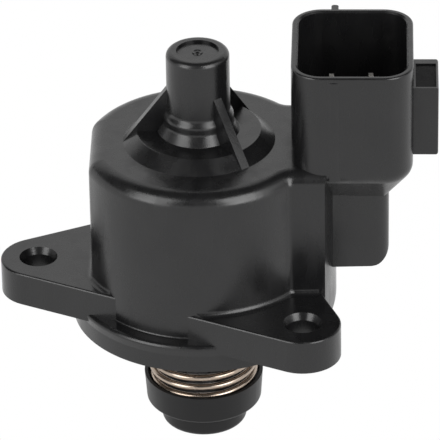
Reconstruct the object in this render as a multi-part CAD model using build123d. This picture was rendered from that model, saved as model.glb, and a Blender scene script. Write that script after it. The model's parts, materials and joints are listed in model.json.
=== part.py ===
from build123d import *
import math
import os

# Idle air control valve: a moulded housing with two bolt ears and an upright
# plug socket, holding a claw-pole stepper motor that screws a sprung plunger
# in and out. Millimetres. The valve's axis is Z with the rear boss upward, the
# origin is on that axis at the underside of the locating disc, and X runs
# along the line through the two bolt holes.

# Motor: claw-pole stator
pole_radius = 8.1
claw_thickness = 0.8
claw_count = 6
claw_base_width = 3.5
claw_tip_width = 2.0
claw_end_gap = 1.4
sheet = 0.9
cup_radius = 15.9
cup_wall = 0.8
bobbin_wall = 0.8
bobbin_gap = 0.2
winding_margin = 0.6
block_half_width = 7.0
block_out = 2.1
block_height = 2.3
block_clearance = 0.2

# Motor: rotor and bearings
air_gap = 0.3
magnet_end_gap = 1.4
magnet_edge = 0.3
nut_wall = 1.65
nut_length = 10.0
sleeve_wall = 1.4
sleeve_journal_wall = 0.6
sleeve_end_gap = 0.2
sleeve_top_journal = 3.5
sleeve_top_clearance = 0.7
running_clearance = 0.05
bore_clearance = 0.4
bearing_height = 4.0
bearing_section = 3.0
race_wall = 0.9
race_relief = 0.1
track_depth = 0.18
ball_count = 9
ball_clearance = 0.03
cage_width = 0.6
cage_height = 2.6
cage_clearance = 0.08
bush_wall = 1.45
bush_height = 3.5
washer_width = 2.3
washer_thickness = 0.3
washer_gap = 0.05

# Spindle, plunger and spring, drawn with the plunger fully out
stroke = 5.0
stroke_margin = 2.0
thread_radius = 2.5
shank_radius = 3.0
shank_flat = 2.3
shank_lead = 1.0
tail_radius = 2.0
tail_chamfer = 0.4
tail_recess = 0.4
plunger_drop = 13.0
plunger_cup_depth = 1.3
plunger_skirt_height = 5.1
plunger_skirt_draft = 0.35
plunger_skirt_round = 0.5
plunger_wall = 0.57
plunger_nose_radius = 7.3
plunger_nose_height = 4.3
plunger_nose_round = 0.9
clip_radius = 3.6
clip_thickness = 0.6
clip_seat_depth = 1.6
clip_seat_clearance = 0.4
spring_radius = 8.75
spring_pitch = 1.85
spring_start_bearing = 90.0
spring_clearance = 0.3
wire_radius = 0.58

# Guide cover
cover_recess = 0.2
cover_thickness = 2.4
cover_ledge = 1.2
cover_groove = 0.8
cover_web = 1.8
cover_tube_wall = 3.0
cover_tube_length = 5.0
cover_collar_wall = 1.3
cover_stand_height = 3.6
cover_stand_width = 2.8

# Housing: disc, ears and round body
stator_clearance = 0.3
stator_end_clearance = 0.2
body_wall = 3.5
body_flat_wall = 2.15
body_flat_corner = 3.0
body_top_wall = 2.8
shoulder_height = 32.3
shoulder_round = 2.6
foot_fillet = 0.9
foot_sink = 0.3
foot_runout = 0.15
disc_step = 2.3
disc_height = 5.0
disc_edge = 0.7
disc_fit_height = 3.0
disc_flare = 0.4
ledge_fillet = 0.3
bolt_spacing = 50.0
bolt_line_offset = 12.1
bolt_hole_radius = 2.65
bolt_mouth_width = 0.6
bolt_mouth_depth = 1.15
ear_radius = 6.4
ear_bottom = 3.5
ear_thickness = 6.0
ear_edge = 0.35
plain_ear_inset = 1.5
arm_ear_inset = 5.0
seal_inset = 2.2
seal_section_radius = 1.0
seal_groove_depth = 1.5
seal_groove_side = 0.15

# Housing: raised cone, rear boss and gussets
cone_base_radius = 12.75
cone_top_radius = 10.4
cone_height = 2.0
cone_edge = 0.2
boss_bore_clearance = 0.7
boss_wall = 2.1
boss_height = 14.9
boss_round = 1.0
boss_recess_radius = 3.57
boss_recess_depth = 0.45
boss_floor = 2.1
collar_step = 0.6
collar_length = 3.1
collar_slope = 0.9
collar_round = 1.1
flare_step = 0.95
flare_height = 1.75
flare_round = 1.0
flare_edge = 0.12
gusset_thickness = 1.55
gusset_height = 7.9
gusset_sink = 0.9
rear_gusset_bearing = 78.0

# Housing: connector arm, neck and plug socket, along the connector bearing
connector_bearing = 27.6
arm_half_width = 13.0
arm_reach = 3.2
arm_bow = 2.3
arm_corner_fillet = 1.5
neck_half_width = 7.8
neck_depth = 8.7
neck_rise = 1.95
neck_corner = 2.4
neck_heel = 3.3
shroud_offset = 2.8
shroud_length = 20.2
shroud_width = 24.6
shroud_corner = 5.0
shroud_drop = 1.7
shroud_height = 19.3
shroud_wall = 1.1
shroud_rim_edge = 0.35
shroud_mouth_lead = 0.3
shroud_turn = -2.5
shroud_taper_height = 5.4
shroud_taper_angle = 40.0
shroud_taper_round = 3.0
socket_floor_thickness = 2.9
lug_reach = 4.2
lug_half_width = 5.0
lug_rise = 1.0
lug_height = 12.6
lug_edge = 0.4
lug_pocket_depth = 0.3
lug_pocket_slope = 17.0
lug_pocket_wall = 0.4
lug_pocket_back = 1.5
rib_offset = -3.0
back_rib_drop = 0.3
back_rib_width = 1.2
back_rib_reach = 1.9
back_rib_round = 0.5
front_rib_drop = 0.9
front_rib_reach = 0.15
front_rib_curve = 2.2

# Plug terminals
terminal_pitch_radial = 6.6
terminal_pitch_across = 5.0
terminal_thickness = 0.8
terminal_width = 2.2
terminal_length = 7.7
terminal_tip_taper = 1.4
terminal_tip_width = 1.2
terminal_seat = 1.4

# Radii worked out from the sizes above
cavity_radius = cup_radius + stator_clearance
cover_radius = cavity_radius + cover_ledge
body_radius = cavity_radius + body_wall
body_flat_distance = cavity_radius + body_flat_wall
disc_radius = body_radius + disc_step
seal_radius = disc_radius - seal_inset
bobbin_bore = pole_radius + claw_thickness + bobbin_gap
bobbin_radius = cup_radius - cup_wall - bobbin_gap
winding_radius = bobbin_radius - winding_margin
magnet_radius = pole_radius - air_gap
nut_bore = thread_radius + running_clearance
nut_radius = nut_bore + nut_wall
magnet_bore = nut_radius + sleeve_wall
bearing_bore = shank_radius + bore_clearance + sleeve_journal_wall
bearing_radius = bearing_bore + bearing_section
ball_orbit_radius = bearing_bore + bearing_section / 2
ball_radius = bearing_section / 2 - race_wall + track_depth
bush_bore = sleeve_top_journal + running_clearance
bush_radius = bush_bore + bush_wall
boss_bore_radius = thread_radius + boss_bore_clearance
boss_radius = boss_bore_radius + boss_wall
collar_radius = boss_radius + collar_step
flare_radius = collar_radius + flare_step
plunger_bore = spring_radius + wire_radius + spring_clearance
plunger_radius = plunger_bore + plunger_wall

# Heights worked out from the sizes above
ear_top = ear_bottom + ear_thickness
cover_top = cover_recess + cover_thickness
cavity_top = shoulder_height - body_top_wall
stator_bottom = cover_top + cover_stand_height
stator_top = cavity_top - stator_end_clearance
stator_middle = (stator_bottom + stator_top) / 2
block_low = stator_middle - sheet - block_height / 2
block_high = stator_middle + sheet + block_height / 2
cone_top = shoulder_height + cone_height
collar_top = cone_top + collar_length
gusset_top = cone_top + gusset_height
boss_top = cone_top + boss_height
boss_bore_top = boss_top - boss_recess_depth - boss_floor
bush_top = cavity_top + bush_height
bearing_bottom = cover_recess + cover_web
bearing_top = bearing_bottom + bearing_height
bearing_middle = bearing_bottom + bearing_height / 2
shank_top = bearing_bottom + shank_lead
nut_bottom = shank_top + stroke + stroke_margin
nut_top = nut_bottom + nut_length
spindle_top = boss_bore_top - stroke - stroke_margin
cover_tube_bottom = cover_recess - cover_tube_length
plunger_rim = -plunger_drop
plunger_floor = plunger_rim - plunger_cup_depth
skirt_bottom = plunger_rim - plunger_skirt_height
nose_bottom = skirt_bottom - plunger_nose_height
spring_top = cover_recess + cover_groove
arm_bottom = ear_bottom
neck_bottom = ear_top + neck_rise
shroud_bottom = shoulder_height - shroud_drop
shroud_top = shroud_bottom + shroud_height
socket_floor = shroud_bottom + socket_floor_thickness
lug_bottom = shroud_bottom + lug_rise
terminal_tip = socket_floor + terminal_length

# Places worked out from the sizes above
ear_centers = ((-bolt_spacing / 2, -bolt_line_offset), (bolt_spacing / 2, -bolt_line_offset))
ear_roots = (body_radius - plain_ear_inset, body_radius - arm_ear_inset)
ear_bearings = [math.degrees(math.atan2(y, x)) for x, y in ear_centers]
ear_front = bolt_line_offset + ear_radius
arm_end = body_radius + arm_reach
arm_corner_end = arm_end - arm_bow
neck_end = arm_end + neck_depth
shroud_center = arm_end + shroud_offset
block_end = cup_radius + block_out
terminal_end = block_end - terminal_seat
terminal_rows = (-terminal_pitch_across, 0.0, terminal_pitch_across)
inner_column = shroud_center - terminal_pitch_radial / 2
outer_column = shroud_center + terminal_pitch_radial / 2
to_connector = Rot(0, 0, connector_bearing)
plug_axis = Pos(shroud_center, 0, 0)
to_plug = to_connector * plug_axis * Rot(0, 0, shroud_turn) * plug_axis.inverse()


def turned(corners):
    """Solid of revolution about Z from (radius, height, corner round) points."""
    points = [(r, z) for r, z, _ in corners]
    rounds = [rounding for _, _, rounding in corners]
    outline = FilletPolyline(*points, radius=rounds, close=True)
    return revolve(Plane.XZ * make_face(outline), Axis.Z)


def ring(outer, inner, low, high):
    """Plain ring about Z between two heights."""
    section = Pos(0, 0, low) * (Circle(outer) - Circle(inner))
    return extrude(section, amount=high - low)


def disc(radius, low, high):
    """Plain round disc about Z between two heights."""
    return extrude(Pos(0, 0, low) * Circle(radius), amount=high - low)


def block(x, y, z):
    """Box from three (low, high) pairs."""
    center = [(low + high) / 2 for low, high in (x, y, z)]
    return Pos(*center) * Box(x[1] - x[0], y[1] - y[0], z[1] - z[0])


def around(shape, count):
    """Copies of a shape spaced evenly about Z."""
    return [Rot(0, 0, 360.0 * i / count) * shape for i in range(count)]


def fillet_section(corner_x, corner_y, size, sink):
    """Concave corner filler, sunk a little into both walls: a square less a quarter circle."""
    side = size + sink
    middle = (size - sink) / 2
    square = Pos(corner_x + middle, corner_y + middle) * Rectangle(side, side)
    return square - Pos(corner_x + size, corner_y + size) * Circle(size)


# Housing


def ear_outline(center, root, inset):
    """Plan of one ear: straight along the front, and at the back in line with a circle about the axis."""
    end = ear_radius - inset
    front = inset - ear_front
    away = Vector(*center).normalized()
    turn = math.degrees(math.acos((root - ear_radius) / Vector(*center).length))
    back = away.rotate(Axis.Z, math.copysign(turn, center[0]))
    tip = Vector(*center) + back * end
    inside = math.copysign(ear_radius, center[0])
    sides = Polyline((center[0], front), (inside, front), (inside, 0), back * (root - inset), tip)
    arc = ThreePointArc(tip, Vector(*center) + away * end, (center[0], front))
    return make_face([*sides.edges(), arc])


def ear(center, root):
    """One bolt ear, with a rounded top edge."""
    prism = extrude(Pos(0, 0, ear_bottom) * ear_outline(center, root, 0), amount=ear_top - ear_bottom)
    top_edges = prism.edges().group_by(Axis.Z)[-1]
    rim = [e for e in top_edges if math.hypot(e.center().X, e.center().Y) > cavity_radius]
    return fillet(rim, ear_edge)


def above_ear(center, root):
    """Room over one ear for the fillet at the foot of the walls."""
    plan = ear_outline(center, root, ear_edge + foot_runout)
    return extrude(Pos(0, 0, ear_top - foot_sink) * plan, amount=foot_fillet + foot_sink)


def gusset(bearing):
    """Thin sloping web from the rear boss down to the foot of the cone."""
    outline = Polyline(
        (0, shoulder_height - gusset_sink),
        (cone_base_radius, shoulder_height - gusset_sink),
        (cone_base_radius, shoulder_height),
        (boss_radius, gusset_top),
        (0, gusset_top),
        close=True,
    )
    web = extrude(Plane.XZ * make_face(outline), amount=gusset_thickness / 2, both=True)
    return Rot(0, 0, bearing) * web


def arm_plan():
    """Plan of the connector arm, with a gently bowed end."""
    arc = ThreePointArc(
        (arm_corner_end, -arm_half_width),
        (arm_end, 0),
        (arm_corner_end, arm_half_width),
    )
    sides = Polyline(
        (arm_corner_end, arm_half_width),
        (0, arm_half_width),
        (0, -arm_half_width),
        (arm_corner_end, -arm_half_width),
    )
    return to_connector * make_face([arc, *sides.edges()])


def body_plan():
    """Plan of the body and arm, with a flat that clears the screw in the plain ear."""
    half = body_radius - body_flat_distance
    side = Pos(body_flat_distance + half, 0) * Rectangle(2 * half, 2 * body_radius)
    plan = Circle(body_radius) - Rot(0, 0, ear_bearings[0]) * side
    plan = fillet(plan.vertices(), body_flat_corner)
    plan = plan + arm_plan()
    corners = [v for v in plan.vertices() if abs(Vector(v).length - body_radius) < foot_sink
               and (to_connector.inverse() * Pos(Vector(v))).position.X > 0]
    return fillet(corners, arm_corner_fillet)


def is_arm_end(edge):
    """True for edges on the bowed end of the arm."""
    return (to_connector.inverse() * Pos(edge.center())).position.X > arm_corner_end


def body_walls():
    """Upright walls of the body and arm under one rounded shoulder."""
    walls = extrude(Pos(0, 0, arm_bottom) * body_plan(), amount=shoulder_height - arm_bottom)
    top_edges = walls.edges().group_by(Axis.Z)[-1]
    return fillet([e for e in top_edges if not is_arm_end(e)], shoulder_round)


def wall_foot():
    """Fillet round the foot of the body and arm at the level of the ears."""
    edges = [e for e in (Pos(0, 0, ear_top) * body_plan()).edges() if not is_arm_end(e)]
    path = Wire(edges)
    along = path % 0
    start = Plane(path @ 0, x_dir=along.cross(Vector(0, 0, 1)), z_dir=-along)
    return sweep(start * fillet_section(0, 0, foot_fillet, foot_sink), path=path)


def base_disc():
    """Locating disc, with a fillet where the body stands on it."""
    plain = turned([
        (0, 0, 0),
        (disc_radius, 0, 0),
        (disc_radius, disc_fit_height, 0),
        (disc_radius + disc_flare, disc_height, disc_edge),
        (0, disc_height, 0),
    ])
    ledge = revolve(Plane.XZ * fillet_section(body_radius, disc_height, ledge_fillet, foot_sink), Axis.Z)
    return plain + ledge


def cone_and_boss():
    """Cone, flared collar and rear boss, all turned about the axis."""
    return turned([
        (0, shoulder_height - gusset_sink, 0),
        (cone_base_radius, shoulder_height - gusset_sink, 0),
        (cone_base_radius, shoulder_height, 0),
        (cone_top_radius, cone_top, cone_edge),
        (flare_radius, cone_top, flare_edge),
        (collar_radius, cone_top + flare_height, flare_round),
        (collar_radius, collar_top, collar_round),
        (boss_radius, collar_top + collar_slope, collar_round),
        (boss_radius, boss_top, boss_round),
        (boss_recess_radius, boss_top, 0),
        (boss_recess_radius, boss_top - boss_recess_depth, 0),
        (0, boss_top - boss_recess_depth, 0),
    ])


def neck():
    """Upright neck between the arm's end and the plug socket, rounded in plan and at its heel."""
    start = arm_corner_end - neck_corner
    plan = Pos((start + neck_end) / 2, 0) * Rectangle(neck_end - start, 2 * neck_half_width)
    plan = fillet(plan.vertices().group_by(Axis.X)[-1], neck_corner)
    side = FilletPolyline(
        (start, shroud_bottom),
        (start, neck_bottom),
        (neck_end, neck_bottom),
        (neck_end, shroud_bottom),
        radius=[0, 0, neck_heel, 0],
        close=True,
    )
    upright = extrude(Pos(0, 0, neck_bottom) * plan, amount=shroud_bottom - neck_bottom)
    return upright & extrude(Plane.XZ * make_face(side), amount=2 * neck_half_width, both=True)


def shroud():
    """Outer walls of the plug socket, drawn in below to the neck."""
    plan = RectangleRounded(shroud_length, shroud_width, shroud_corner)
    walls = extrude(Pos(shroud_center, 0, shroud_bottom) * plan, amount=shroud_top - shroud_bottom)
    taper = extrude(Pos(shroud_center, 0, shroud_bottom) * plan, amount=-shroud_taper_height,
                    taper=shroud_taper_angle)
    bell = walls + taper
    level = [e for e in bell.edges() if abs(e.bounding_box().max.Z - shroud_bottom) < shroud_wall / 10
             and abs(e.bounding_box().min.Z - shroud_bottom) < shroud_wall / 10]
    bell = fillet(level, shroud_taper_round)
    return fillet(bell.edges().group_by(Axis.Z)[-1], shroud_rim_edge)


def socket_space():
    """Open inside of the plug socket."""
    plan = RectangleRounded(
        shroud_length - 2 * shroud_wall,
        shroud_width - 2 * shroud_wall,
        shroud_corner - shroud_wall,
    )
    inside = extrude(Pos(shroud_center, 0, socket_floor) * plan, amount=shroud_top - socket_floor)
    lead = extrude(Pos(shroud_center, 0, shroud_top - shroud_mouth_lead) * plan, amount=shroud_mouth_lead,
                   taper=-45)
    return inside + lead


def latch_lug():
    """Block on the socket's outer face that the plug's latch hooks under."""
    face = shroud_center + shroud_length / 2
    lug = block((face - shroud_wall / 2, face + lug_reach), (-lug_half_width, lug_half_width),
                (lug_bottom, lug_bottom + lug_height))
    outer = lug.faces().sort_by(Axis.X)[-1].edges()
    return fillet(outer, lug_edge)


def lug_pocket():
    """Shallow recess in the lug's top, whose floor falls away to the front."""
    face = shroud_center + shroud_length / 2
    top = lug_bottom + lug_height
    front = lug_pocket_wall - lug_half_width
    back = lug_half_width - lug_pocket_back
    deepest = lug_pocket_depth + (back - front) * math.tan(math.radians(lug_pocket_slope))
    rim = [(front, top), (back, top)]
    floor = [(back, top - lug_pocket_depth), (front, top - deepest)]
    side = Polyline(rim + floor, close=True)
    width = lug_reach - 2 * lug_pocket_wall
    return extrude(Plane.YZ.offset(face + lug_pocket_wall) * make_face(side), amount=width)


def key_ribs():
    """Upright key rib on the socket's back and a low swelling on its front."""
    place = shroud_center + rib_offset
    half = shroud_width / 2
    sunk = half - shroud_wall / 2
    back = block(
        (place - back_rib_width / 2, place + back_rib_width / 2),
        (sunk, half + back_rib_reach),
        (shroud_bottom, shroud_top - back_rib_drop),
    )
    swell = Pos(place, front_rib_curve - front_rib_reach - half, shroud_bottom) * Circle(front_rib_curve)
    front = extrude(swell, amount=shroud_height - front_rib_drop)
    back_edges = back.faces().sort_by(Axis.Y)[-1].edges().filter_by(Axis.Z)
    return fillet(back_edges, back_rib_round) + front


def inner_space():
    """Stepped bore for the cover, stator, upper bush and spindle."""
    return turned([
        (0, 0, 0),
        (cover_radius, 0, 0),
        (cover_radius, cover_top, 0),
        (cavity_radius, cover_top, 0),
        (cavity_radius, cavity_top, 0),
        (bush_radius, cavity_top, 0),
        (bush_radius, bush_top, 0),
        (boss_bore_radius, bush_top, 0),
        (boss_bore_radius, boss_bore_top, 0),
        (0, boss_bore_top, 0),
    ])


def seal_groove():
    """Face groove in the disc's underside for the mounting seal."""
    half = seal_section_radius + seal_groove_side
    return ring(seal_radius + half, seal_radius - half, 0, seal_groove_depth)


def bolt_holes():
    """Two ear holes with eased mouths."""
    drill = turned([
        (0, ear_bottom, 0),
        (bolt_hole_radius, ear_bottom, 0),
        (bolt_hole_radius, ear_top - bolt_mouth_depth, 0),
        (bolt_hole_radius + bolt_mouth_width, ear_top, 0),
        (0, ear_top, 0),
    ])
    return [Pos(x, y, 0) * drill for x, y in ear_centers]


def block_pocket():
    """Room in the arm for the bobbins' terminal blocks."""
    wide = block_half_width + block_clearance
    low = block_low - block_height / 2 - block_clearance
    high = block_high + block_height / 2 + block_clearance
    return to_connector * block((0, block_end), (-wide, wide), (low, high))


def housing(terminals):
    """The whole moulded housing, as one solid."""
    shell = base_disc() + body_walls() + cone_and_boss()
    foot = wall_foot()
    ears = [ear(center, root) for center, root in zip(ear_centers, ear_roots)]
    feet = [foot & above_ear(center, root) for center, root in zip(ear_centers, ear_roots)]
    gussets = [gusset(bearing) for bearing in ear_bearings + [rear_gusset_bearing]]
    plug = shroud() + latch_lug() + key_ribs()
    shell = shell + ears + feet + gussets + to_connector * neck() + to_plug * plug
    shell = shell - inner_space() - seal_groove() - bolt_holes()
    shell = shell - to_plug * socket_space() - to_plug * lug_pocket()
    return shell - block_pocket() - list(terminals.values())


# Plug terminals


def terminal(column, row, level):
    """Bent blade: upright in the socket, then in through the arm to its bobbin."""
    half = terminal_thickness / 2
    bend = make_face(Polyline(
        (terminal_end, level - half),
        (column + half, level - half),
        (column + half, terminal_tip),
        (column - half, terminal_tip),
        (column - half, level + half),
        (terminal_end, level + half),
        close=True,
    ))
    blade = extrude(Plane.XZ * bend, amount=terminal_width / 2, both=True)
    side = (terminal_width - terminal_tip_width) / 2
    tip = terminal_tip - terminal_tip_taper
    corner = make_face(Polyline(
        (terminal_width / 2, tip),
        (terminal_width / 2, terminal_tip),
        (terminal_width / 2 - side, terminal_tip),
        close=True,
    ))
    cut = Pos(column, 0, 0) * extrude(Plane.YZ * corner, amount=terminal_thickness, both=True)
    blade = blade - cut - mirror(cut, Plane.XZ)
    return to_connector * Pos(0, row, 0) * blade


def plug_terminals():
    """Six terminals by name: the inner column feeds the upper coil, the outer the lower."""
    places = [(inner_column, row, block_high) for row in terminal_rows]
    places += [(outer_column, row, block_low) for row in terminal_rows]
    return {f"terminal_{i + 1}": terminal(*place) for i, place in enumerate(places)}


# Stator: the lower half is drawn, the upper half is its mirror turned by a quarter pole


def claws(base, tip):
    """Ring of tapered pole claws from a base height to a tip height."""
    outline = make_face(Polyline(
        (-claw_base_width / 2, base),
        (claw_base_width / 2, base),
        (claw_tip_width / 2, tip),
        (-claw_tip_width / 2, tip),
        close=True,
    ))
    wedge = extrude(Plane.XZ * outline, amount=-cup_radius)
    low, high = min(base, tip), max(base, tip)
    claw = wedge & ring(pole_radius + claw_thickness, pole_radius, low, high)
    return around(claw, claw_count)


def lower_cup():
    """Outer pole cup with a floor and upward claws."""
    floor = ring(cup_radius, pole_radius, stator_bottom, stator_bottom + sheet)
    wall = ring(cup_radius, cup_radius - cup_wall, stator_bottom, stator_middle)
    return floor + wall + claws(stator_bottom, stator_middle - claw_end_gap)


def lower_plate():
    """Inner pole plate with downward claws between those of the cup."""
    plate = ring(cup_radius - cup_wall, pole_radius, stator_middle - sheet, stator_middle)
    turned_claws = [Rot(0, 0, 180.0 / claw_count) * c
                    for c in claws(stator_middle, stator_bottom + claw_end_gap)]
    return plate + turned_claws


def block_notch():
    """Slot through the lower cup's wall for a terminal block."""
    wide = block_half_width + block_clearance
    low = block_low - block_height / 2 - block_clearance
    inner = bobbin_bore + bobbin_wall
    return to_connector * block((inner, cup_radius + sheet), (-wide, wide), (low, stator_middle))


def lower_spool(terminals):
    """Coil bobbin with its terminal block, cut for the terminals' ends."""
    low = stator_bottom + sheet
    high = stator_middle - sheet
    spool = ring(bobbin_radius, bobbin_bore, low, low + bobbin_wall)
    spool = spool + ring(bobbin_radius, bobbin_bore, high - bobbin_wall, high)
    spool = spool + ring(bobbin_bore + bobbin_wall, bobbin_bore, low, high)
    bar = block((bobbin_bore + bobbin_wall, block_end), (-block_half_width, block_half_width),
                (high - block_height, high))
    bar = bar - disc(winding_radius, low, high - bobbin_wall)
    return spool + to_connector * bar - list(terminals.values())


def lower_coil():
    """Copper winding that fills the bobbin."""
    low = stator_bottom + sheet + bobbin_wall
    high = stator_middle - sheet - bobbin_wall
    return ring(winding_radius, bobbin_bore + bobbin_wall, low, high)


def flipped(shape):
    """Upper-half copy of a lower-half piece."""
    return mirror(shape, Plane.XY.offset(stator_middle))


def stator(terminals):
    """Both halves of the claw-pole stator by node name."""
    quarter_pole = Rot(0, 0, 90.0 / claw_count)
    upper_terminals = {name: flipped(shape) for name, shape in terminals.items()}
    cup = lower_cup()
    plate = lower_plate()
    coil = lower_coil()
    notch = block_notch()
    return {
        "lower_pole_cup": cup - notch,
        "lower_pole_plate": plate,
        "lower_bobbin": lower_spool(terminals),
        "lower_winding": coil,
        "upper_pole_cup": flipped(quarter_pole * cup - notch),
        "upper_pole_plate": flipped(quarter_pole * plate),
        "upper_bobbin": flipped(lower_spool(upper_terminals)),
        "upper_winding": flipped(coil),
    }


# Rotor and bearings


def rotor():
    """Magnet, moulded sleeve and brass drive nut, which turn together."""
    low = stator_bottom + magnet_end_gap
    high = stator_top - magnet_end_gap
    magnet = turned([
        (magnet_bore, low, 0),
        (magnet_radius, low, magnet_edge),
        (magnet_radius, high, magnet_edge),
        (magnet_bore, high, 0),
    ])
    sleeve_bottom = bearing_bottom + sleeve_end_gap
    shoulder_radius = bearing_bore + race_wall - race_relief
    journal_top = bush_top - sleeve_top_clearance
    sleeve = turned([
        (shank_radius + bore_clearance, sleeve_bottom, 0),
        (bearing_bore, sleeve_bottom, 0),
        (bearing_bore, bearing_top, 0),
        (shoulder_radius, bearing_top, 0),
        (shoulder_radius, low, 0),
        (magnet_bore, low, 0),
        (magnet_bore, high, 0),
        (sleeve_top_journal, high, 0),
        (sleeve_top_journal, journal_top, 0),
        (thread_radius + bore_clearance, journal_top, 0),
        (thread_radius + bore_clearance, nut_top, 0),
        (nut_radius, nut_top, 0),
        (nut_radius, nut_bottom, 0),
        (shank_radius + bore_clearance, nut_bottom, 0),
    ])
    nut = ring(nut_radius, nut_bore, nut_bottom, nut_top)
    return {"rotor_magnet": magnet, "rotor_sleeve": sleeve, "drive_nut": nut}


def bearings():
    """Lower ball bearing, upper bush and the dished preload washer."""
    track = Pos(0, 0, bearing_middle) * Torus(ball_orbit_radius, ball_radius + ball_clearance)
    inner = ring(bearing_bore + race_wall, bearing_bore, bearing_bottom, bearing_top) - track
    outer = ring(bearing_radius, bearing_radius - race_wall, bearing_bottom, bearing_top) - track
    ball = Pos(ball_orbit_radius, 0, bearing_middle) * Sphere(ball_radius)
    drill = Rot(0, 90, 0) * Cylinder(ball_radius + cage_clearance, 2 * cage_width)
    pocket = Pos(ball_orbit_radius, 0, bearing_middle) * drill
    cage = ring(
        ball_orbit_radius + cage_width / 2,
        ball_orbit_radius - cage_width / 2,
        bearing_middle - cage_height / 2,
        bearing_middle + cage_height / 2,
    )
    washer_bore = sleeve_top_journal + bore_clearance
    washer_bottom = stator_top - magnet_end_gap + washer_gap
    washer = turned([
        (washer_bore, cavity_top - washer_thickness, 0),
        (washer_bore + washer_width, washer_bottom, 0),
        (washer_bore + washer_width, washer_bottom + washer_thickness, 0),
        (washer_bore, cavity_top, 0),
    ])
    return {
        "bearing_inner_race": inner,
        "bearing_outer_race": outer,
        "bearing_balls": Compound(around(ball, ball_count)),
        "bearing_cage": cage - around(pocket, ball_count),
        "upper_bush": ring(bush_radius, bush_bore, cavity_top, bush_top),
        "preload_washer": washer,
    }


# Guide cover and seal


def flatted(radius, flat, low, high):
    """Round bar with two flats, used for the shank and its guide hole."""
    return disc(radius, low, high) & block((-radius, radius), (-flat, flat), (low, high))


def guide_cover():
    """Cover that closes the housing, guides the shank and seats bearing, stator and spring."""
    plate = disc(cover_radius, cover_recess, cover_top)
    tube = disc(shank_radius + cover_tube_wall, cover_tube_bottom, cover_top)
    collar = disc(bearing_radius + cover_collar_wall, cover_recess, bearing_top)
    stand = ring(cup_radius, cup_radius - cover_stand_width, cover_top, stator_bottom)
    half = wire_radius + spring_clearance
    groove = ring(spring_radius + half, spring_radius - half, cover_recess, spring_top)
    pocket = disc(bearing_radius, bearing_bottom, bearing_top)
    guide = flatted(
        shank_radius + running_clearance,
        shank_flat + running_clearance,
        cover_tube_bottom,
        bearing_bottom,
    )
    return plate + tube + collar + stand - groove - pocket - guide


def mounting_seal():
    """Round-section ring that stands just proud of its groove."""
    return Pos(0, 0, seal_groove_depth - seal_section_radius) * Torus(seal_radius, seal_section_radius)


# Plunger


def plunger_parts():
    """Spindle, plunger and retaining clip, which slide together."""
    tail_end = nose_bottom + tail_recess
    spindle = flatted(shank_radius, shank_flat, plunger_floor, shank_top)
    spindle = spindle + turned([
        (0, shank_top, 0),
        (thread_radius, shank_top, 0),
        (thread_radius, spindle_top - tail_chamfer, 0),
        (thread_radius - tail_chamfer, spindle_top, 0),
        (0, spindle_top, 0),
    ])
    spindle = spindle + turned([
        (0, tail_end, 0),
        (tail_radius - tail_chamfer, tail_end, 0),
        (tail_radius, tail_end + tail_chamfer, 0),
        (tail_radius, plunger_floor, 0),
        (0, plunger_floor, 0),
    ])
    clip_seat = nose_bottom + clip_seat_depth
    plunger = turned([
        (tail_radius, plunger_floor, 0),
        (plunger_bore, plunger_floor, 0),
        (plunger_bore, plunger_rim, 0),
        (plunger_radius, plunger_rim, 0),
        (plunger_radius - plunger_skirt_draft, skirt_bottom, plunger_skirt_round),
        (plunger_nose_radius, skirt_bottom, 0),
        (plunger_nose_radius, nose_bottom, plunger_nose_round),
        (clip_radius + clip_seat_clearance, nose_bottom, 0),
        (clip_radius + clip_seat_clearance, clip_seat, 0),
        (tail_radius, clip_seat, 0),
    ])
    clip = ring(clip_radius, tail_radius, clip_seat - clip_thickness, clip_seat)
    return {"spindle": spindle, "valve_plunger": plunger, "plunger_clip": clip}


def plunger_spring():
    """Compression spring with ground ends between the cover and the plunger."""
    length = spring_top - plunger_floor
    path = Helix(spring_pitch, length, spring_radius)
    wire = sweep(Plane(origin=path @ 0, z_dir=path % 0) * Circle(wire_radius), path=path, is_frenet=True)
    reach = spring_radius + 2 * wire_radius
    between_seats = disc(reach, 0, length)
    coil = Pos(0, 0, plunger_floor) * Rot(0, 0, spring_start_bearing) * (wire & between_seats)
    return coil


def all_parts():
    """Every piece by node name."""
    terminals = plug_terminals()
    parts = {
        "housing": housing(terminals),
        "guide_cover": guide_cover(),
        "mounting_seal": mounting_seal(),
        "plunger_spring": plunger_spring(),
    }
    parts.update(terminals)
    parts.update(stator(terminals))
    parts.update(rotor())
    parts.update(bearings())
    parts.update(plunger_parts())
    return parts


os.makedirs("parts", exist_ok=True)
for name, shape in all_parts().items():
    export_step(shape, f"parts/{name}.step")
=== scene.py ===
import json
import math

import bmesh
import bpy
from mathutils import Matrix, Quaternion, Vector


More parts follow.
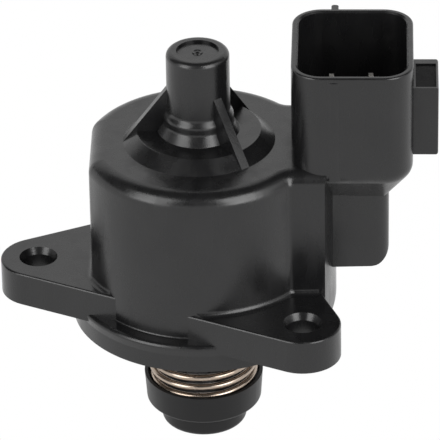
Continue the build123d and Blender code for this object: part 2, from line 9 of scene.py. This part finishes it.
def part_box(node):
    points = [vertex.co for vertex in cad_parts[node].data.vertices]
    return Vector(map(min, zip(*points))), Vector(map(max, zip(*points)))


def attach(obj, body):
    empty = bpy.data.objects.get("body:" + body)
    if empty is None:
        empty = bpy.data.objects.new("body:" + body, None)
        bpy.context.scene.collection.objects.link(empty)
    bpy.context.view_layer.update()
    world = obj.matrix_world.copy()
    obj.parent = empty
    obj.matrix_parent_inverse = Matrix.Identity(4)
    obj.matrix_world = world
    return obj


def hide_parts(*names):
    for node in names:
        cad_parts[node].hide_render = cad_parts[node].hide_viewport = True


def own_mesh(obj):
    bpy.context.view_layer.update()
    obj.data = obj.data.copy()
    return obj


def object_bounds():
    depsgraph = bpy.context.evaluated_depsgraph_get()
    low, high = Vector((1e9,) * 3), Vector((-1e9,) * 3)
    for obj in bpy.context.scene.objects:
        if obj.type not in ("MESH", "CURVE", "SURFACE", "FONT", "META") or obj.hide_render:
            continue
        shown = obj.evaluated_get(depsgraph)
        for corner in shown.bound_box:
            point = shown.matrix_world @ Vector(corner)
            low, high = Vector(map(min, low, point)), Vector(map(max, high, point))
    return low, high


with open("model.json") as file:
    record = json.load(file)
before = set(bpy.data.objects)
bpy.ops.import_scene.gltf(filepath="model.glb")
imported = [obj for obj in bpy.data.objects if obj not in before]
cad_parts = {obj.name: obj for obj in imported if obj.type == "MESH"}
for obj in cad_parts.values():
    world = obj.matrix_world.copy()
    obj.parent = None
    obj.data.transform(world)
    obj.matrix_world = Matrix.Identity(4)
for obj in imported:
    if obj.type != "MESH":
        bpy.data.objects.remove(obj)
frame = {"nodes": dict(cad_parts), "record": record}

cad_low, cad_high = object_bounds()

# An idle air control valve: a black moulded housing with bolt ears and a plug socket, and a sprung plunger below.
# Sizes of the part are in millimetres and turned to metres by MM. Heights are measured from the locating disc's
# underside. The studio is in metres.

MM = 0.001
FULL_TURN = 2 * math.pi

# Places taken from the frame
mounts = {mount["name"]: mount for mount in frame["record"]["mounts"]}
socket_mouth = Vector(mounts["plug_socket"]["pos_m"])
connector_bearing = math.atan2(socket_mouth.y, socket_mouth.x)
spring_low, spring_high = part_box("plunger_spring")

# Camera, fitted to the photograph; it looks square at the plane through the axis and the connector
CAMERA_DISTANCE = 797.4
CAMERA_ELEVATION = math.radians(30.848)
CAMERA_ROLL = math.radians(-1.16)
CAMERA_TARGET_HEIGHT = 9.52
CAMERA_LENS = 383.6
CAMERA_SENSOR = 36.0
CAMERA_SHIFT = (0.04195, 0.08105)
CAMERA_CLIP = (0.01, 20.0)
camera_bearing = connector_bearing - math.pi / 2

# Spring wire
SPRING_RADIUS = 8.75
WIRE_RADIUS = 0.58
SPRING_PITCH = 1.85
SPRING_START_BEARING = math.radians(90.0)
WIRE_SIDES = 20
STEPS_PER_TURN = 64
POLE_MERGE = 0.001

# Studio: levels are radiances, where 1 is white
WHITE = (1, 1, 1, 1)
WHITE_LEVEL = 1.0
AMBIENT_LEVEL = 0.15
FLOOR_GAP = 0.1 * MM
FLOOR_HALF_SIZE = 4.0
FLOOR_PAPER = (0.5, 0.5, 0.5, 1)
ROOM_RADIUS = 3.0
ROOM_SEGMENTS = 48
ROOM_RINGS = 24
ROOM_LOW = math.radians(12.0)
ROOM_HALF_ANGLE = math.radians(120.0)
ROOM_LEVEL = 0.07
SOFTBOX_DISTANCE = 1.1
LEFT_SOFTBOX_TURN = math.radians(-49.0)
RIGHT_SOFTBOX_TURN = math.radians(41.0)
SOFTBOX_ELEVATION = math.radians(26.0)
SOFTBOX_SIZE = (0.66, 1.05)
LEFT_SOFTBOX_LEVEL = 4.3
RIGHT_SOFTBOX_LEVEL = 5.4
PANEL_TURN = math.radians(76.0)
PANEL_ELEVATION = math.radians(31.0)
PANEL_SIZE = (0.5, 0.5)
PANEL_LEVEL = 1.4

# Moulding gate left in the boss's recess
GATE_RADIUS = 0.92
GATE_HEIGHT = 0.16
GATE_LIP = 0.28
GATE_STUB_RADIUS = 0.24
GATE_STUB_FOOT_RADIUS = 0.36
GATE_STUB_HEIGHT = 0.24
BOSS_RECESS_FLOOR = 48.75

# Finishes: blotches in millimetres, and how many finer layers of noise are laid over them
NOISE_LOW = 0.3
NOISE_HIGH = 0.7
CLOUD_MM = 9.0
CLOUD_DETAIL = 4.0
HANDLING_MM = 2.6
HANDLING_DETAIL = 5.0
HANDLING_STRETCH = (1.0, 1.0, 3.0)
GRAIN_DETAIL = 3.0
TARNISH_MM = 3.0
TARNISH_DETAIL = 4.0
STREAK_DETAIL = 3.0
WINDING_GLOSS = 0.32
WINDING_WAVE_SCALE = 900.0
WINDING_WAVER = 0.6
WINDING_DEPTH = 0.08
BLOOM_MM = 1.5
BLOOM_DETAIL = 4.0
BLOOM_HIGH = 0.75
RUBBER_GLOSS = (0.55, 0.75)
RUBBER_GRAIN_MM = 0.15
RUBBER_GRAIN_DETAIL = 2.0
RUBBER_GRAIN_DEPTH = 0.004

# How far a metal's streaks are drawn out along X, Y and Z
EVEN = (1.0, 1.0, 1.0)
PRESSED = (1.0, 1.0, 6.0)
ROLLED = (1.0, 1.0, 8.0)
TURNED = (6.0, 6.0, 1.0)


# Small helpers


def bearing_vector(bearing, elevation=0.0):
    """Unit vector at a bearing about Z and a height above the horizon."""
    level = math.cos(elevation)
    return Vector((level * math.cos(bearing), level * math.sin(bearing), math.sin(elevation)))


def finished_piece(name, mesh_builder, material):
    """A new object at the origin from a bmesh, smooth shaded, with one material."""
    mesh = bpy.data.meshes.new(name)
    mesh_builder.to_mesh(mesh)
    mesh_builder.free()
    mesh.polygons.foreach_set("use_smooth", [True] * len(mesh.polygons))
    mesh.materials.append(material)
    piece = bpy.data.objects.new(name, mesh)
    bpy.context.scene.collection.objects.link(piece)
    return piece


def dress(node, material):
    """Gives a CAD node's object its finished material."""
    slots = frame["nodes"][node].data.materials
    slots.clear()
    slots.append(material)


# Materials


class Finish:
    """A node material with a Principled shader, on Object coordinates in metres."""

    def __init__(self, name):
        self.material = bpy.data.materials.new(name)
        self.material.use_nodes = True
        self.tree = self.material.node_tree
        self.shader = self.tree.nodes["Principled BSDF"]
        self.coordinates = self.tree.nodes.new("ShaderNodeTexCoord").outputs["Object"]

    def link(self, source, target):
        self.tree.links.new(source, target)

    def noise(self, feature_mm, detail, stretch=EVEN):
        """Noise whose blotches are about feature_mm across, drawn out along an axis by stretch."""
        mapping = self.tree.nodes.new("ShaderNodeMapping")
        mapping.inputs["Scale"].default_value = [1 / share for share in stretch]
        self.link(self.coordinates, mapping.inputs["Vector"])
        node = self.tree.nodes.new("ShaderNodeTexNoise")
        node.inputs["Scale"].default_value = 1 / (feature_mm * MM)
        node.inputs["Detail"].default_value = detail
        self.link(mapping.outputs["Vector"], node.inputs["Vector"])
        return node.outputs["Fac"]

    def ramp(self, source, stops):
        """Colour ramp from (place, colour) stops."""
        node = self.tree.nodes.new("ShaderNodeValToRGB")
        elements = node.color_ramp.elements
        for element, (place, color) in zip(elements, stops):
            element.position = place
            element.color = (*color, 1)
        for place, color in stops[len(elements):]:
            elements.new(place).color = (*color, 1)
        self.link(source, node.inputs["Fac"])
        return node.outputs["Color"]

    def span(self, source, low, high):
        """Noise spread so that most of it lies between low and high."""
        node = self.tree.nodes.new("ShaderNodeMapRange")
        node.inputs["From Min"].default_value = NOISE_LOW
        node.inputs["From Max"].default_value = NOISE_HIGH
        node.inputs["To Min"].default_value = low
        node.inputs["To Max"].default_value = high
        self.link(source, node.inputs["Value"])
        return node.outputs["Result"]

    def bump(self, height, depth_mm):
        """Relief, depth_mm deep, in the surface's normals."""
        node = self.tree.nodes.new("ShaderNodeBump")
        node.inputs["Distance"].default_value = depth_mm * MM
        self.link(height, node.inputs["Height"])
        self.link(node.outputs["Normal"], self.shader.inputs["Normal"])


def moulded_plastic(name, dark, light, gloss, grain_mm=0.22, grain_depth=0.012, shine=0.5):
    """Glass-filled plastic: cloudy colour, satin gloss that varies, and a fine spark-eroded grain."""
    finish = Finish(name)
    finish.shader.inputs["Specular IOR Level"].default_value = shine
    clouds = finish.noise(CLOUD_MM, CLOUD_DETAIL)
    color = finish.ramp(clouds, [(NOISE_LOW, dark), (NOISE_HIGH, light)])
    finish.link(color, finish.shader.inputs["Base Color"])
    handling = finish.noise(HANDLING_MM, HANDLING_DETAIL, HANDLING_STRETCH)
    finish.link(finish.span(handling, *gloss), finish.shader.inputs["Roughness"])
    finish.bump(finish.noise(grain_mm, GRAIN_DETAIL), grain_depth)
    return finish.material


def metal(name, dark, light, gloss, streak_mm, stretch, depth_mm):
    """Drawn, turned or pressed metal with streaks along its working direction."""
    finish = Finish(name)
    finish.shader.inputs["Metallic"].default_value = 1.0
    tarnish = finish.noise(TARNISH_MM, TARNISH_DETAIL)
    color = finish.ramp(tarnish, [(NOISE_LOW, dark), (NOISE_HIGH, light)])
    finish.link(color, finish.shader.inputs["Base Color"])
    streaks = finish.noise(streak_mm, STREAK_DETAIL, stretch)
    finish.link(finish.span(streaks, *gloss), finish.shader.inputs["Roughness"])
    finish.bump(streaks, depth_mm)
    return finish.material


def copper_winding(name):
    """Enamelled copper wire laid in close turns round the bobbin, with painted shade in the grooves between the
    turns.
    """
    finish = Finish(name)
    finish.shader.inputs["Metallic"].default_value = 1.0
    finish.shader.inputs["Roughness"].default_value = WINDING_GLOSS
    waves = finish.tree.nodes.new("ShaderNodeTexWave")
    waves.bands_direction = "Z"
    waves.inputs["Scale"].default_value = WINDING_WAVE_SCALE
    waves.inputs["Distortion"].default_value = WINDING_WAVER
    finish.link(finish.coordinates, waves.inputs["Vector"])
    # Painted shade: the copper colour darkens to brown in the grooves between turns, where the bump sinks
    color = finish.ramp(waves.outputs["Fac"], [(0.0, (0.20, 0.06, 0.02)), (0.6, (0.62, 0.26, 0.11))])
    finish.link(color, finish.shader.inputs["Base Color"])
    finish.bump(waves.outputs["Fac"], WINDING_DEPTH)
    return finish.material


def seal_rubber(name):
    """Matt black rubber with a slight bloom."""
    finish = Finish(name)
    bloom = finish.noise(BLOOM_MM, BLOOM_DETAIL)
    color = finish.ramp(bloom, [(NOISE_LOW, (0.012, 0.012, 0.012)), (BLOOM_HIGH, (0.03, 0.03, 0.03))])
    finish.link(color, finish.shader.inputs["Base Color"])
    finish.link(finish.span(bloom, *RUBBER_GLOSS), finish.shader.inputs["Roughness"])
    finish.bump(finish.noise(RUBBER_GRAIN_MM, RUBBER_GRAIN_DETAIL), RUBBER_GRAIN_DEPTH)
    return finish.material


finishes = {
    "housing_plastic": moulded_plastic("housing_plastic", (0.0058, 0.0058, 0.0062), (0.0085, 0.0084, 0.0087),
                                       (0.2, 0.35)),
    "cover_plastic": moulded_plastic("cover_plastic", (0.006, 0.006, 0.006), (0.009, 0.009, 0.009), (0.3, 0.4),
                                     shine=0.22),
    "plunger_plastic": moulded_plastic("plunger_plastic", (0.006, 0.006, 0.0063), (0.0085, 0.0085, 0.0088),
                                       (0.34, 0.44), shine=0.26),
    "rotor_plastic": moulded_plastic("rotor_plastic", (0.08, 0.08, 0.08), (0.12, 0.12, 0.12), (0.4, 0.5)),
    "bobbin_plastic": moulded_plastic("bobbin_plastic", (0.62, 0.59, 0.51), (0.74, 0.71, 0.64), (0.4, 0.5)),
    "magnet_ferrite": moulded_plastic("magnet_ferrite", (0.05, 0.048, 0.046), (0.09, 0.086, 0.082), (0.5, 0.65),
                                      grain_mm=0.3, grain_depth=0.01),
    "seal_rubber": seal_rubber("seal_rubber"),
    "spring_steel": metal("spring_steel", (0.34, 0.275, 0.22), (0.47, 0.39, 0.325), (0.22, 0.28), 0.8,
                          EVEN, 0.0002),
    "terminal_metal": metal("terminal_metal", (0.78, 0.76, 0.71), (0.9, 0.88, 0.84), (0.5, 0.6), 0.1,
                            ROLLED, 0.002),
    "pole_steel": metal("pole_steel", (0.42, 0.42, 0.43), (0.56, 0.56, 0.57), (0.3, 0.45), 0.15,
                        PRESSED, 0.003),
    "nut_bronze": metal("nut_bronze", (0.47, 0.31, 0.13), (0.6, 0.43, 0.21), (0.25, 0.4), 0.1,
                        TURNED, 0.003),
    "bearing_steel": metal("bearing_steel", (0.6, 0.6, 0.62), (0.7, 0.7, 0.72), (0.1, 0.2), 0.1,
                           TURNED, 0.001),
    "cage_steel": metal("cage_steel", (0.42, 0.42, 0.43), (0.54, 0.54, 0.55), (0.28, 0.42), 0.12,
                        TURNED, 0.002),
    "spindle_steel": metal("spindle_steel", (0.46, 0.46, 0.47), (0.6, 0.6, 0.61), (0.22, 0.36), 0.08,
                           TURNED, 0.003),
    "winding_copper": copper_winding("winding_copper"),
}

for subpart in frame["record"]["subparts"]:
    dress(subpart["node"], finishes[subpart["material_slot"]])


# Spring


def coil_spring():
    """Round wire wound right-handed at an even pitch, with both ends ground flat."""
    length = spring_high.z - spring_low.z
    turns = length / (SPRING_PITCH * MM)
    steps = round(turns * STEPS_PER_TURN)
    builder = bmesh.new()
    circle = bmesh.ops.create_circle(builder, segments=WIRE_SIDES, radius=WIRE_RADIUS * MM, cap_ends=True)
    upright = Matrix.Rotation(math.pi / 2, 4, "X")
    outward = Matrix.Translation((SPRING_RADIUS * MM, 0, spring_low.z))
    to_start = Matrix.Rotation(SPRING_START_BEARING, 4, "Z") @ outward @ upright
    bmesh.ops.transform(builder, matrix=to_start, verts=circle["verts"])
    bmesh.ops.spin(builder, geom=builder.verts[:] + builder.edges[:] + builder.faces[:], cent=(0, 0, 0),
                   axis=(0, 0, 1), dvec=(0, 0, length / steps), angle=FULL_TURN * turns, steps=steps)
    for height, side in ((spring_low.z, -1), (spring_high.z, 1)):
        cut = bmesh.ops.bisect_plane(builder, geom=builder.verts[:] + builder.edges[:] + builder.faces[:],
                                     plane_co=(0, 0, height), plane_no=(0, 0, side), clear_outer=True)
        rim = [item for item in cut["geom_cut"] if isinstance(item, bmesh.types.BMEdge)]
        bmesh.ops.holes_fill(builder, edges=rim, sides=0)
    bmesh.ops.recalc_face_normals(builder, faces=builder.faces[:])
    return builder


spring_piece = finished_piece("spring_coil", coil_spring(), finishes["spring_steel"])
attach(spring_piece, "valve_body")
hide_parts("plunger_spring")
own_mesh(spring_piece)


# Gate mark


def turned_outline(points):
    """Solid of revolution about Z from (radius, height) points in millimetres, with closed poles."""
    builder = bmesh.new()
    corners = [builder.verts.new((radius * MM, 0, height * MM)) for radius, height in points]
    for start, end in zip(corners, corners[1:]):
        builder.edges.new((start, end))
    bmesh.ops.spin(builder, geom=builder.verts[:] + builder.edges[:], cent=(0, 0, 0), axis=(0, 0, 1),
                   angle=FULL_TURN, steps=STEPS_PER_TURN, use_merge=True)
    bmesh.ops.remove_doubles(builder, verts=builder.verts[:], dist=POLE_MERGE * MM)
    bmesh.ops.recalc_face_normals(builder, faces=builder.faces[:])
    return builder


def gate_mark():
    """Low ring round the broken-off stub where the plastic was fed in."""
    floor = BOSS_RECESS_FLOOR
    lip = GATE_RADIUS - GATE_LIP
    slope = GATE_LIP / 3
    dish = floor + GATE_HEIGHT / 4
    return turned_outline([
        (0, floor - GATE_HEIGHT),
        (GATE_RADIUS, floor - GATE_HEIGHT),
        (GATE_RADIUS, floor),
        (GATE_RADIUS - slope, floor + GATE_HEIGHT),
        (lip + slope, floor + GATE_HEIGHT),
        (lip, dish),
        (GATE_STUB_FOOT_RADIUS, dish),
        (GATE_STUB_RADIUS, floor + GATE_STUB_HEIGHT),
        (0, floor + GATE_STUB_HEIGHT),
    ])


gate_piece = finished_piece("gate_mark", gate_mark(), finishes["housing_plastic"])
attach(gate_piece, "valve_body")


# Studio


def seen_directly(nodes, links):
    """1 for what the camera sees straight, in a reflection or through glass."""
    path = nodes.new("ShaderNodeLightPath")
    last = path.outputs["Is Camera Ray"]
    for other in ("Is Glossy Ray", "Is Transmission Ray"):
        most = nodes.new("ShaderNodeMath")
        most.operation = "MAXIMUM"
        links.new(last, most.inputs[0])
        links.new(path.outputs[other], most.inputs[1])
        last = most.outputs[0]
    return last


def studio_floor():
    """Floor that is seen as plain white and otherwise bounces light as grey paper does."""
    builder = bmesh.new()
    bmesh.ops.create_grid(builder, x_segments=1, y_segments=1, size=FLOOR_HALF_SIZE)
    bmesh.ops.translate(builder, verts=builder.verts[:], vec=(0, 0, cad_low.z - FLOOR_GAP))
    material = bpy.data.materials.new("studio_white")
    material.use_nodes = True
    nodes = material.node_tree.nodes
    links = material.node_tree.links
    nodes.clear()
    output = nodes.new("ShaderNodeOutputMaterial")
    mix = nodes.new("ShaderNodeMixShader")
    paper = nodes.new("ShaderNodeBsdfDiffuse")
    paper.inputs["Color"].default_value = FLOOR_PAPER
    glow = nodes.new("ShaderNodeEmission")
    links.new(seen_directly(nodes, links), mix.inputs[0])
    links.new(paper.outputs[0], mix.inputs[1])
    links.new(glow.outputs[0], mix.inputs[2])
    links.new(mix.outputs[0], output.inputs["Surface"])
    floor = finished_piece("studio_floor", builder, material)


def studio_surround():
    """White surround in view and in reflections, and an even light level otherwise."""
    world = bpy.data.worlds.new("studio_surround")
    bpy.context.scene.world = world
    world.use_nodes = True
    nodes = world.node_tree.nodes
    links = world.node_tree.links
    nodes.clear()
    output = nodes.new("ShaderNodeOutputWorld")
    mix = nodes.new("ShaderNodeMixShader")
    level = nodes.new("ShaderNodeBackground")
    level.inputs["Strength"].default_value = AMBIENT_LEVEL
    white = nodes.new("ShaderNodeBackground")
    for background in (level, white):
        background.inputs["Color"].default_value = WHITE
    white.inputs["Strength"].default_value = WHITE_LEVEL
    links.new(seen_directly(nodes, links), mix.inputs[0])
    links.new(level.outputs[0], mix.inputs[1])
    links.new(white.outputs[0], mix.inputs[2])
    links.new(mix.outputs[0], output.inputs["Surface"])


def dark_room():
    """The unlit room behind the camera, which only reflections see."""
    builder = bmesh.new()
    bmesh.ops.create_uvsphere(builder, u_segments=ROOM_SEGMENTS, v_segments=ROOM_RINGS, radius=ROOM_RADIUS)
    lower = ROOM_RADIUS * math.sin(ROOM_LOW)
    front = bearing_vector(camera_bearing)
    rear = ROOM_RADIUS * math.cos(ROOM_HALF_ANGLE)
    cuts = (
        (Vector((0, 0, lower)), Vector((0, 0, -1))),
        (front * rear, -front),
    )
    for place, outward in cuts:
        bmesh.ops.bisect_plane(builder, geom=builder.verts[:] + builder.edges[:] + builder.faces[:],
                               plane_co=place, plane_no=outward, clear_outer=True)
    material = bpy.data.materials.new("dark_room")
    material.use_nodes = True
    nodes = material.node_tree.nodes
    nodes.clear()
    output = nodes.new("ShaderNodeOutputMaterial")
    glow = nodes.new("ShaderNodeEmission")
    glow.inputs["Color"].default_value = WHITE
    glow.inputs["Strength"].default_value = ROOM_LEVEL
    material.node_tree.links.new(glow.outputs[0], output.inputs["Surface"])
    room = finished_piece("dark_room", builder, material)
    room.visible_camera = False
    room.visible_diffuse = False
    room.visible_transmission = False
    room.visible_shadow = False


def softbox(name, turn, elevation, size, level):
    """Soft light turned from the camera's bearing, that faces the part with an even radiance."""
    light = bpy.data.lights.new(name, "AREA")
    light.shape = "RECTANGLE"
    light.size, light.size_y = size
    light.energy = level * math.pi * size[0] * size[1]
    lamp = bpy.data.objects.new(name, light)
    away = bearing_vector(camera_bearing + turn, elevation)
    lamp.location = away * SOFTBOX_DISTANCE
    lamp.rotation_euler = away.to_track_quat("Z", "Y").to_euler()
    bpy.context.scene.collection.objects.link(lamp)


studio_floor()
studio_surround()
dark_room()
softbox("left_softbox", LEFT_SOFTBOX_TURN, SOFTBOX_ELEVATION, SOFTBOX_SIZE, LEFT_SOFTBOX_LEVEL)
softbox("right_softbox", RIGHT_SOFTBOX_TURN, SOFTBOX_ELEVATION, SOFTBOX_SIZE, RIGHT_SOFTBOX_LEVEL)
softbox("right_panel", PANEL_TURN, PANEL_ELEVATION, PANEL_SIZE, PANEL_LEVEL)


# Camera


def product_camera():
    """Long lens at the photograph's angle, with its slight roll and its frame's shift."""
    lens = bpy.data.cameras.new("product_camera")
    lens.lens = CAMERA_LENS
    lens.sensor_width = CAMERA_SENSOR
    lens.shift_x, lens.shift_y = CAMERA_SHIFT
    lens.clip_start, lens.clip_end = CAMERA_CLIP
    camera = bpy.data.objects.new("product_camera", lens)
    back = bearing_vector(camera_bearing, CAMERA_ELEVATION)
    camera.location = Vector((0, 0, CAMERA_TARGET_HEIGHT * MM)) + back * CAMERA_DISTANCE * MM
    camera.rotation_mode = "QUATERNION"
    camera.rotation_quaternion = back.to_track_quat("Z", "Y") @ Quaternion((0, 0, 1), CAMERA_ROLL)
    bpy.context.scene.collection.objects.link(camera)
    bpy.context.scene.camera = camera


product_camera()
bpy.context.scene.view_settings.view_transform = "Standard"
